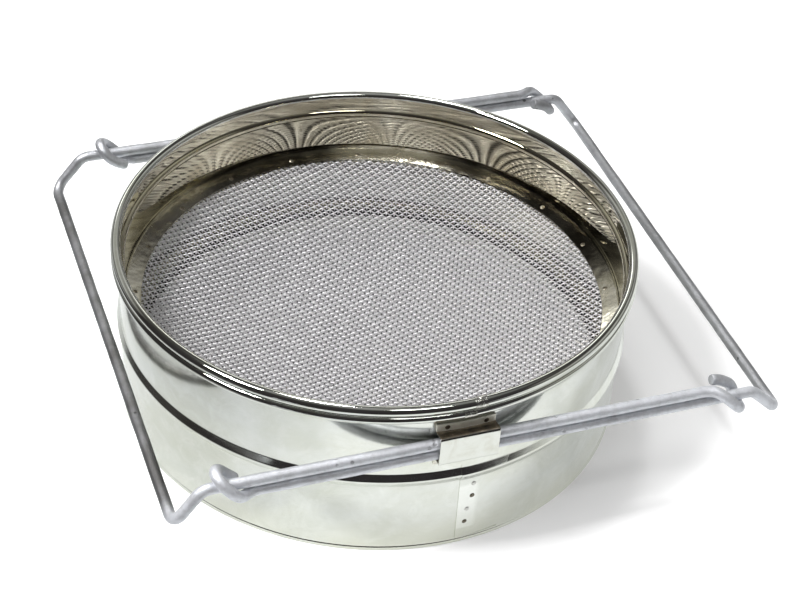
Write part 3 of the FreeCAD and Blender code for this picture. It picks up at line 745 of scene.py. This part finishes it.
class Material(Nodes):
    """material with one principled shader, in object coordinates"""

    def __init__(self, name):
        self.material = bpy.data.materials.new(name)
        self.material.use_nodes = True
        super().__init__(self.material.node_tree, "Object")
        output = self.node("OutputMaterial")
        self.shader = self.node("BsdfPrincipled")
        self.feed(output.inputs["Surface"], self.shader.outputs[0])

    def noise(self, vector=None, *, scale, detail, rough, distort=0.0):
        node = self.node("TexNoise")
        self.feed(node.inputs["Vector"], vector or self.coords)
        for key, number in (("Scale", scale), ("Detail", detail), ("Roughness", rough),
                            ("Distortion", distort)):
            node.inputs[key].default_value = number
        return node.outputs["Fac"]

    def cells(self, scale):
        """distance to the nearest of scattered points"""
        node = self.node("TexVoronoi", feature="F1")
        self.feed(node.inputs["Vector"], self.coords)
        node.inputs["Scale"].default_value = scale
        node.inputs["Randomness"].default_value = 1.0
        return node.outputs["Distance"]

    def bump(self, height, strength, distance, over=None):
        node = self.node("Bump")
        node.inputs["Strength"].default_value = strength
        node.inputs["Distance"].default_value = distance
        self.feed(node.inputs["Height"], height)
        if over is not None:
            self.feed(node.inputs["Normal"], over)
        return node.outputs[0]

    def polar(self, radius=WALL_RADIUS):
        """(arc length, radius, height) of a point, for grain that runs round the wall"""
        x, y, z = self.xyz()
        angle = self.math("ARCTAN2", y, x)
        return self.mul(angle, radius), self.hypot(x, y), z

    def finish(self, **inputs):
        """set shader inputs, underscores standing for spaces"""
        for key, value in inputs.items():
            self.feed(self.shader.inputs[key.replace("_", " ")], value)
        return self.material


# ------------------------------------------------------------------ materials
def wall_steel():
    """bright rolled sheet: mirror finish, drawn grain round the wall, faint stains, soft dents,
    and painted reflections beside the seam and near the foot
    """
    mat = Material("polished_sheet")
    around, r, z = mat.polar()
    grain = mat.noise(mat.combine(mat.mul(around, 0.10), r, mat.mul(z, 1.0)),
                      scale=900.0, detail=3.0, rough=0.6)
    cloud = mat.noise(scale=26.0, detail=4.0, rough=0.55, distort=0.4)
    fine = mat.noise(scale=240.0, detail=3.0, rough=0.6)
    colour = mat.ramp(cloud, [(0.3, (0.655, 0.67, 0.60)), (0.5, (0.73, 0.745, 0.70)),
                              (0.72, (0.79, 0.805, 0.775))])
    # yellow smears, then pale haze
    smear = mat.ramp(mat.noise(mat.combine(around, r, mat.mul(z, 2.2)),
                               scale=9.0, detail=5.0, rough=0.6, distort=0.8),
                     [(0.45, 0.0), (0.7, 1.0)])
    colour = mat.mix(mat.mul(smear, 0.5), colour, (0.66, 0.66, 0.54))
    haze = mat.ramp(mat.noise(mat.combine(around, r, z),
                              scale=55.0, detail=6.0, rough=0.7, distort=1.5),
                    [(0.46, 0.0), (0.66, 1.0)])
    colour = mat.mix(mat.mul(haze, 0.35), colour, (0.88, 0.89, 0.86))
    # the patch beside the seam is painted paler, a painted reflection; in degrees round the wall
    # and metres up it
    degrees = mat.mul(around, 180.0 / (math.pi * WALL_RADIUS))
    band = mat.remap(degrees, span=(-85.9, -84.7), to=(1.0, 0.0))
    high = mat.remap(z, span=(0.033, 0.0345), to=(1.0, 0.0))
    low = mat.remap(z, span=(0.0075, 0.0085))
    painted_seam_sheen = mat.mul(mat.mul(mat.above(degrees, -89.5), band), mat.mul(high, low))
    colour = mat.mix(mat.mul(painted_seam_sheen, 0.75), colour, (0.93, 0.94, 0.90))
    # the strip near the foot is painted yellow-grey in patches, a painted reflection of the shaded
    # floor next to the foot
    foot = mat.remap(z, span=(0.004, 0.020), to=(1.0, 0.0))
    patchy = mat.ramp(cloud, [(0.35, 0.2), (0.65, 1.0)])
    colour = mat.mix(mat.mul(mat.mul(foot, patchy), 0.5), colour, (0.70, 0.70, 0.57))
    rough = mat.add(mat.remap(cloud, to=(0.055, 0.12)), mat.mul(grain, 0.06))
    rough = mat.add(rough, mat.mul(mat.add(smear, haze), 0.03))
    # the rolled rims are smoother
    rim = mat.above(z, 0.0752)
    rough = mat.mul(rough, mat.sub(1.0, mat.mul(rim, 0.62)))
    swell = mat.noise(mat.combine(around, r, mat.mul(z, 1.6)), scale=16.0, detail=2.0, rough=0.4)
    # thin dark hairlines
    hair = mat.noise(mat.combine(mat.mul(around, 0.35), r, mat.mul(z, 1.2)),
                     scale=130.0, detail=5.0, rough=0.7, distort=2.5)
    hair = mat.ramp(hair, [(0.485, 0.0), (0.5, 1.0), (0.515, 0.0)])
    colour = mat.mix(mat.mul(hair, 0.16), colour, (0.50, 0.52, 0.45))
    normal = mat.bump(swell, strength=0.35, distance=0.0011)
    normal = mat.bump(fine, strength=0.05, distance=0.0003, over=normal)
    normal = mat.bump(grain, strength=0.05, distance=0.0001, over=normal)
    return mat.finish(Base_Color=colour, Metallic=1.0, Roughness=rough, Normal=normal)


def inner_steel():
    """inside of the upper basin: the same sheet painted warmer and darker, painted shade of the
    light bouncing inside the basin, and more stained
    """
    mat = Material("shaded_inner_sheet")
    around, r, z = mat.polar()
    cloud = mat.noise(scale=30.0, detail=4.0, rough=0.55, distort=0.5)
    grain = mat.noise(mat.combine(mat.mul(around, 0.10), r, z),
                      scale=900.0, detail=3.0, rough=0.6)
    # painted shade: a warmer, darker tone than the outer sheet
    bounce_shade = mat.ramp(cloud, [(0.3, (0.50, 0.45, 0.31)), (0.5, (0.63, 0.59, 0.45)),
                            (0.72, (0.72, 0.69, 0.56))])
    stain = mat.ramp(mat.noise(mat.combine(around, r, mat.mul(z, 2.5)),
                               scale=22.0, detail=5.0, rough=0.6, distort=1.0),
                     [(0.5, 0.0), (0.68, 1.0)])
    colour = mat.mix(mat.mul(stain, 0.45), bounce_shade, (0.42, 0.37, 0.25))
    rough = mat.add(mat.remap(cloud, to=(0.012, 0.03)), mat.mul(grain, 0.012))
    rough = mat.add(rough, mat.mul(stain, 0.06))
    swell = mat.noise(mat.combine(around, r, mat.mul(z, 1.6)), scale=18.0, detail=2.0, rough=0.4)
    normal = mat.bump(swell, strength=0.06, distance=0.0010)
    normal = mat.bump(grain, strength=0.03, distance=0.0001, over=normal)
    return mat.finish(Base_Color=colour, Metallic=1.0, Roughness=rough, Normal=normal)


def ring_steel(name, inner_half):
    """pressed ring: heat-tinted, rubbed bright in places.  It is painted dark, as painted shade,
    on the inner half of the flange, or else in two patches of the +Y side"""
    mat = Material(name)
    around, r, z = mat.polar(radius=0.11)
    cloud = mat.noise(mat.combine(around, mat.mul(r, 2.0), z),
                      scale=48.0, detail=5.0, rough=0.65, distort=1.2)
    colour = mat.ramp(cloud, [(0.28, (0.26, 0.23, 0.16)), (0.36, (0.58, 0.55, 0.43)),
                              (0.50, (0.80, 0.77, 0.65)), (0.75, (0.89, 0.87, 0.78))])
    x, y, _ = mat.xyz()
    if inner_half:
        # painted shadow: the inner half of the flange is painted dark
        painted_ring_shade = mat.mul(mat.below(mat.hypot(x, y), 0.1122), 1.0)
    else:
        angle = mat.math("ARCTAN2", y, x)

        def step(start, end):
            """0 at the start angle, 1 at the end angle, degrees"""
            return mat.remap(angle, span=(math.radians(start), math.radians(end)), smooth=True)

        # painted shade: two patches of the +Y side are painted dark
        sector = mat.mul(step(-16, 0), step(128, 112))
        painted_ring_shade = mat.mul(sector, mat.math("MAXIMUM", step(60, 48), step(74, 86)))
        painted_ring_shade = mat.mul(painted_ring_shade, mat.ramp(mat.noise(scale=90.0, detail=4.0, rough=0.6),
                                            [(0.36, 0.86), (0.60, 1.0)]))
    colour = mat.mix(painted_ring_shade, colour, (0.075, 0.068, 0.052))
    rough = mat.ramp(cloud, [(0.30, 0.34), (0.5, 0.15), (0.75, 0.20)])
    rough = mat.mul(rough, mat.sub(1.0, mat.mul(painted_ring_shade, 0.4)))
    lines = mat.noise(mat.combine(mat.mul(around, 0.12), mat.mul(r, 1.0), z),
                      scale=1400.0, detail=2.0, rough=0.5)
    swell = mat.noise(scale=70.0, detail=3.0, rough=0.5)
    normal = mat.bump(swell, strength=0.5, distance=0.0010)
    normal = mat.bump(lines, strength=0.10, distance=0.0001, over=normal)
    return mat.finish(Base_Color=colour, Metallic=1.0, Roughness=rough, Normal=normal)


def cloth_steel(name, base, dark, rough, metal, crown_shade=None):
    """drawn wire of the woven cloth; the crown colour argument is painted on the crowns, a painted
    reflection of the dark room
    """
    mat = Material(name)
    cloud = mat.noise(scale=45.0, detail=3.0, rough=0.6)
    speck = mat.noise(scale=900.0, detail=2.0, rough=0.6)
    colour = mat.mix(mat.ramp(speck, [(0.35, 0.0), (0.65, 1.0)]), dark, base)
    colour = mat.mix(mat.mul(cloud, 0.3), colour, dark)
    rough = mat.remap(speck, to=(rough * 0.7, rough * 1.3))
    if crown_shade:
        # painted reflection: the crowns are painted dark
        crest = mat.node("Attribute", attribute_name="crest").outputs["Fac"]
        crown = mat.remap(crest, span=(0.25, 0.65), smooth=True)
        colour = mat.mix(crown, colour, crown_shade)
        metal = mat.remap(crown, to=(metal, 1.0))
    return mat.finish(Base_Color=colour, Metallic=metal, Roughness=rough)


def weld_metal(name, faint=False):
    """resistance weld: darkened, slightly rough"""
    mat = Material(name)
    cloud = mat.noise(scale=700.0, detail=3.0, rough=0.6)
    colour = mat.ramp(cloud, [(0.3, (0.07, 0.06, 0.045)), (0.52, (0.17, 0.15, 0.11)),
                              (0.75, (0.42, 0.40, 0.34))])
    normal = mat.bump(mat.noise(scale=1500.0, detail=3.0, rough=0.6),
                      strength=0.5, distance=0.0002)
    if faint:
        # two of the four are hardly marked
        _, _, z = mat.xyz()
        top = mat.above(z, 0.0310)
        middle = mat.mul(mat.above(z, 0.0160), mat.below(z, 0.0230))
        colour = mat.mix(mat.mul(mat.add(top, middle), 0.8), colour, (0.78, 0.785, 0.75))
    return mat.finish(Base_Color=colour, Metallic=0.9,
                      Roughness=mat.remap(cloud, to=(0.45, 0.28)), Normal=normal)


def joint_metal():
    """bead of filler on the rim, wiped bright"""
    mat = Material("rim_joint_metal")
    cloud = mat.noise(scale=420.0, detail=3.0, rough=0.6)
    colour = mat.ramp(cloud, [(0.3, (0.40, 0.39, 0.34)), (0.5, (0.68, 0.68, 0.63)),
                              (0.7, (0.82, 0.82, 0.79))])
    normal = mat.bump(mat.noise(scale=600.0, detail=3.0, rough=0.6),
                      strength=0.6, distance=0.0005)
    return mat.finish(Base_Color=colour, Metallic=1.0,
                      Roughness=mat.remap(cloud, to=(0.32, 0.15)), Normal=normal)


def bracket_steel():
    """sheet of the saddle straps"""
    mat = Material("bracket_sheet")
    x, y, z = mat.xyz()
    cloud = mat.noise(scale=90.0, detail=4.0, rough=0.6, distort=0.5)
    lines = mat.noise(mat.combine(mat.mul(x, 0.05), y, z), scale=1600.0, detail=2.0, rough=0.5)
    colour = mat.ramp(cloud, [(0.3, (0.62, 0.61, 0.54)), (0.5, (0.72, 0.73, 0.68)),
                              (0.75, (0.76, 0.765, 0.73))])
    rough = mat.add(mat.remap(cloud, to=(0.08, 0.16)), mat.mul(lines, 0.08))
    # the spot-welded tabs are dull
    near = mat.below(mat.math("ABSOLUTE", y), 0.1190)
    tab = mat.mul(near, mat.math("MAXIMUM", mat.above(z, 0.0690), mat.below(z, 0.0542)))
    rough = mat.add(rough, mat.mul(tab, 0.3))
    colour = mat.mix(mat.mul(tab, 0.7), colour, (0.86, 0.84, 0.72))
    # heat stain along the upper bend
    _, _, facing_up = mat.xyz(mat.node("NewGeometry").outputs["Normal"])
    stain = mat.mul(mat.remap(facing_up, span=(0.5, 0.85)), mat.below(z, 0.0712))
    soot = mat.ramp(mat.noise(scale=260.0, detail=3.0, rough=0.6),
                    [(0.3, (0.05, 0.038, 0.022)), (0.6, (0.17, 0.13, 0.08)),
                     (0.75, (0.45, 0.40, 0.30))])
    colour = mat.mix(mat.mul(stain, 0.92), colour, soot)
    rough = mat.add(rough, mat.mul(stain, 0.25))
    normal = mat.bump(mat.noise(scale=120.0, detail=2.0, rough=0.5),
                      strength=0.3, distance=0.0004)
    normal = mat.bump(lines, strength=0.08, distance=0.0001, over=normal)
    return mat.finish(Base_Color=colour, Metallic=mat.sub(1.0, mat.mul(tab, 0.55)),
                      Roughness=rough, Normal=normal)


def wire_metal():
    """dull drawn rod: grey, pitted, with rub marks, painted shade on the grip bars and a painted
    reflection on the front legs
    """
    mat = Material("handle_wire")
    cloud = mat.noise(scale=60.0, detail=5.0, rough=0.6, distort=0.3)
    speck = mat.noise(scale=700.0, detail=4.0, rough=0.65)
    # pits, kept in some areas only
    pits = mat.ramp(mat.cells(scale=210.0), [(0.0, 1.0), (0.16, 1.0), (0.24, 0.0)])
    keep = mat.ramp(mat.noise(scale=120.0, detail=2.0, rough=0.5), [(0.56, 0.0), (0.62, 1.0)])
    pit = mat.mul(pits, keep)
    colour = mat.ramp(cloud, [(0.3, (0.42, 0.428, 0.445)), (0.5, (0.58, 0.59, 0.62)),
                              (0.72, (0.72, 0.735, 0.77))])
    speckle = mat.ramp(speck, [(0.5, 0.0), (0.75, 1.0)])
    colour = mat.mix(mat.mul(speckle, 0.35), colour, (0.34, 0.34, 0.35))
    # the grip bars are painted darker, the left one more than the right: painted shade where the
    # bars catch little light
    x, y, _ = mat.xyz()
    across = mat.remap(mat.math("ABSOLUTE", y), span=(0.104, 0.122), to=(1.0, 0.0), smooth=True)
    grip = mat.add(mat.mul(mat.below(x, -0.112), 0.86), mat.mul(mat.above(x, 0.112), 0.50))
    patchy = mat.ramp(mat.noise(scale=34.0, detail=4.0, rough=0.6), [(0.3, 0.55), (0.6, 1.0)])
    colour = mat.mix(mat.mul(mat.mul(across, grip), patchy), colour, (0.12, 0.115, 0.11))
    colour = mat.mix(mat.mul(pit, 0.8), colour, (0.10, 0.10, 0.10))
    rough = mat.add(mat.remap(cloud, to=(0.52, 0.36)), mat.mul(speck, 0.14))
    height = mat.sub(mat.mul(speck, 0.8), mat.mul(pit, 1.6))
    normal = mat.bump(height, strength=0.5, distance=0.0004)
    # the front legs are painted paler in blotches, a painted reflection of the pale floor
    painted_leg_sheen = mat.mul(mat.sub(1.0, across), mat.below(y, 0.0))
    blot = mat.ramp(mat.noise(scale=210.0, detail=5.0, rough=0.7), [(0.38, 0.0), (0.60, 1.0)])
    colour = mat.mix(mat.mul(painted_leg_sheen, mat.remap(blot, to=(0.20, 0.70))), colour,
                     (0.77, 0.79, 0.835))
    return mat.finish(Base_Color=colour, Metallic=mat.sub(0.93, mat.mul(painted_leg_sheen, 0.32)),
                      Roughness=rough, Normal=normal)


def floor_paint():
    """white floor; mirror reflections see a grey one that falls dark away from the sieves"""
    mat = Material("floor")
    x, y, _ = mat.xyz()
    far = mat.hypot(x, y)

    def by_heading(span, to=(0.0, 1.0)):
        """fade by the angle from -X, in radians; negative towards -Y"""
        heading = mat.math("ARCTAN2", y, mat.mul(x, -1.0))
        return mat.remap(heading, span=span, to=to, smooth=True)

    enter = by_heading(span=(-2.3, -1.9))
    leave = by_heading(span=(0.6, 1.0), to=(1.0, 0.0))
    # towards -Y the dark part begins further out
    front = by_heading(span=(-0.95, -1.35))
    edge = mat.remap(mat.sub(far, mat.mul(front, 0.020)), span=(0.225, 0.265), smooth=True)
    room = mat.mul(edge, mat.mul(enter, leave))
    left = mat.remap(x, span=(-0.06, -0.20), smooth=True)
    seen = mat.mix(left, (0.76, 0.775, 0.773), (0.42, 0.43, 0.44))
    seen = mat.mix(room, seen, (0.03, 0.028, 0.028))
    glossy = mat.node("LightPath").outputs["Is Glossy Ray"]
    camera_ray = mat.node("LightPath").outputs["Is Camera Ray"]
    reflected = mat.mix(0.45, seen, (0.0, 0.0, 0.0))
    return mat.finish(
        Base_Color=mat.mix(glossy, (0.86, 0.86, 0.865), reflected), Roughness=0.9,
        Specular_IOR_Level=0.0, Emission_Color=mat.mix(glossy, (1.0, 1.0, 1.0), seen),
        Emission_Strength=mat.add(mat.mul(camera_ray, 0.22), mat.mul(glossy, 0.58)))


# ------------------------------------------------------------------- assembly
def dress(obj, *materials):
    obj.data.materials.clear()
    for material in materials:
        obj.data.materials.append(material)


def attach(obj, body, node):
    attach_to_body(obj, body)
    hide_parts(node)


def mark_inner_faces(mesh):
    """faces of the coarse wall that look inwards take the second material"""
    normals = np.zeros(len(mesh.polygons) * 3, np.float32)
    centres = np.zeros(len(mesh.polygons) * 3, np.float32)
    mesh.polygons.foreach_get("normal", normals)
    mesh.polygons.foreach_get("center", centres)
    normals, centres = normals.reshape(-1, 3), centres.reshape(-1, 3)
    radius = np.hypot(centres[:, 0], centres[:, 1])
    inward = (normals[:, :2] * centres[:, :2]).sum(1) < 0
    inward &= centres[:, 2] < COARSE_ROLL_LEVEL * MM
    inward &= radius < (COARSE_BORE + GAUGE) * MM
    mesh.polygons.foreach_set("material_index", inward.astype(np.int32))


sheet, shaded_inner_sheet = wall_steel(), inner_steel()
ring = ring_steel("pressed_ring", inner_half=False)
weld, bracket, handle_metal = weld_metal("weld_spot"), bracket_steel(), wire_metal()
joint, seam_weld = joint_metal(), weld_metal("seam_weld_spot", faint=True)
coarse_wire = cloth_steel("coarse_cloth_wire", base=(0.80, 0.785, 0.80),
                          dark=(0.62, 0.605, 0.625), rough=0.36, metal=0.62)
straight_wire = cloth_steel("coarse_cloth_straight_wire", base=(0.78, 0.77, 0.785),
                            dark=(0.62, 0.61, 0.625), rough=0.36, metal=0.62,
                            crown_shade=(0.07, 0.067, 0.07))
fine_wire = cloth_steel("fine_cloth_wire", base=(0.68, 0.67, 0.675), dark=(0.50, 0.49, 0.495),
                        rough=0.45, metal=0.45)

lower = fine_wall()
dress(lower, sheet)
attach(lower, "fine_sieve", "fine_wall")

upper = coarse_wall()
# the inward faces take the sheet with painted shade
dress(upper, sheet, shaded_inner_sheet)
mark_inner_faces(upper.data)
attach(upper, "coarse_sieve", "coarse_wall")

for obj in cloth("coarse_cloth", bore=COARSE_DISH, top=49.84, sag=13.6, edge=114.0, pitch=2.0,
                 wire=0.34, turn=-25.5, sides=6, points=(3, 1), seed=21, groups=(2, 1),
                 crimp=(0.40, 0.24)):
    dress(obj, straight_wire if "weft" in obj.name else coarse_wire)
    attach(obj, "coarse_sieve", "coarse_mesh")
for obj in cloth("fine_cloth", bore=108.5, top=13.64, sag=8.5, edge=115.6, pitch=0.9,
                 wire=0.15, turn=12.0, sides=4, points=(1, 1), seed=22, groups=(3, 3),
                 crimp=(0.15, 0.15)):
    dress(obj, fine_wire)
    attach(obj, "fine_sieve", "fine_mesh")

for side, level, flip in (("front", FRONT_LEVEL, False), ("back", BACK_LEVEL, True)):
    obj = strap(side + "_strap", level, flip)
    dress(obj, bracket)
    attach(obj, "fine_sieve", side + "_bracket")

for obj, body in zip(handles(), ("left_handle", "right_handle")):
    dress(obj, handle_metal)
    attach(obj, body, body)

# CAD pieces that keep their own mesh
KEPT = {
    "coarse_retaining_ring": ring,
    "fine_retaining_ring": ring_steel("lower_pressed_ring", inner_half=True),
    "coarse_ring_welds": weld, "fine_ring_welds": weld, "fine_seam_welds": seam_weld,
    "coarse_seam_welds": weld, "coarse_rim_joint": joint, "fine_rim_joint": joint,
    "front_bracket_welds": weld, "back_bracket_welds": weld,
}
for node, material in KEPT.items():
    dress(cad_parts[node], material)

# ---------------------------------------------------------------------- stage
bpy.ops.mesh.primitive_plane_add(size=12.0, location=(0, 0, -0.0002))
floor = bpy.context.active_object
floor.name = "floor"
floor.data.materials.append(floor_paint())


def studio():
    """a dark room towards -X and -Y, a lighter wall with a bright window on the other side,
    a pale ceiling"""
    world = bpy.data.worlds.new("studio")
    scene.world = world
    world.use_nodes = True
    sky = Nodes(world.node_tree, "Generated")
    output = sky.node("OutputWorld")
    background = sky.node("Background")
    sky.feed(output.inputs[0], background.outputs[0])
    x, y, z = sky.xyz()
    near_side = sky.ramp(z, [
        (0.0, (0.030, 0.027, 0.030)), (0.70, (0.045, 0.042, 0.042)), (0.82, (0.07, 0.068, 0.066)),
        (0.93, (0.22, 0.22, 0.215)), (1.0, (0.36, 0.36, 0.355))])
    far_side = sky.ramp(z, [
        (0.0, (0.36, 0.36, 0.355)), (0.24, (0.16, 0.157, 0.15)), (0.36, (0.20, 0.197, 0.19)),
        (0.41, (0.52, 0.52, 0.505)), (0.50, (0.50, 0.50, 0.485)), (0.62, (0.38, 0.375, 0.35)),
        (0.70, (0.10, 0.096, 0.09)), (0.90, (0.075, 0.073, 0.07)), (0.96, (0.22, 0.22, 0.215)),
        (1.0, (0.36, 0.36, 0.355))])

    def rise(value, start, slope):
        return sky.mul(sky.sub(value, start), slope, clamp=True)

    def band(value, low, high, soft):
        below_high = sky.mul(sky.sub(high, value), 1.0 / soft, clamp=True)
        return sky.mul(rise(value, low, 1.0 / soft), below_high)

    far = sky.math("MAXIMUM", rise(y, start=0.52, slope=5.0), rise(x, start=0.62, slope=5.0))
    opening = sky.mul(band(x, low=-0.12, high=0.42, soft=0.05),
                      band(z, low=0.37, high=0.50, soft=0.03))
    opening = sky.mul(opening, sky.above(y, 0.5))
    sky.feed(background.inputs[0], sky.mix(far, near_side, far_side))
    sky.feed(background.inputs[1], sky.add(sky.mul(opening, 4.6), 1.0))


studio()

# area lights aimed at the origin: name, place, width, height, watts, seen in reflections
LIGHTS = [
    ("key_box", (-1.08, 0.05, 1.60), 0.42, 0.42, 36.0, True),
    ("soft_box", (-0.95, -0.10, 1.70), 2.2, 2.2, 28.0, False),
    ("ceiling_box", (0.04, 0.78, 2.3), 0.26, 0.42, 11.0, True),
    ("front_box", (0.16, -0.72, 1.60), 0.45, 0.22, 3.0, True),
]
for name, place, width, height, watts, reflected in LIGHTS:
    light = bpy.data.lights.new(name, "AREA")
    light.shape = "RECTANGLE"
    light.size, light.size_y = width, height
    light.energy = watts
    lamp = bpy.data.objects.new(name, light)
    scene.collection.objects.link(lamp)
    lamp.location = place
    lamp.rotation_euler = (-Vector(place)).to_track_quat("-Z", "Y").to_euler()
    lamp.visible_glossy = reflected

# --------------------------------------------------------------------- camera
# axes of the level camera, then its roll about the line of sight
RIGHT = Vector((0.92468, -0.38075, 0.0))
UP = Vector((0.23718, 0.57600, 0.78229))
BACKWARD = Vector((-0.29785, -0.72336, 0.62292))
ROLL = math.radians(4.66)
rolled_right = RIGHT * math.cos(ROLL) + UP * math.sin(ROLL)
rolled_up = UP * math.cos(ROLL) - RIGHT * math.sin(ROLL)
lens = bpy.data.cameras.new("camera")
camera = bpy.data.objects.new("camera", lens)
scene.collection.objects.link(camera)
axes = Matrix((rolled_right, rolled_up, BACKWARD)).transposed().to_4x4()
camera.matrix_world = Matrix.Translation((-0.25222, -0.67056, 0.62314)) @ axes
lens.sensor_width = 36.0
lens.sensor_fit = "HORIZONTAL"
lens.lens = 88.61
lens.shift_x = -0.0260
lens.shift_y = -0.0107
lens.clip_start = 0.01
scene.camera = camera
scene.view_settings.view_transform = "Standard"
scene.view_settings.look = "None"

bpy.context.view_layer.update()
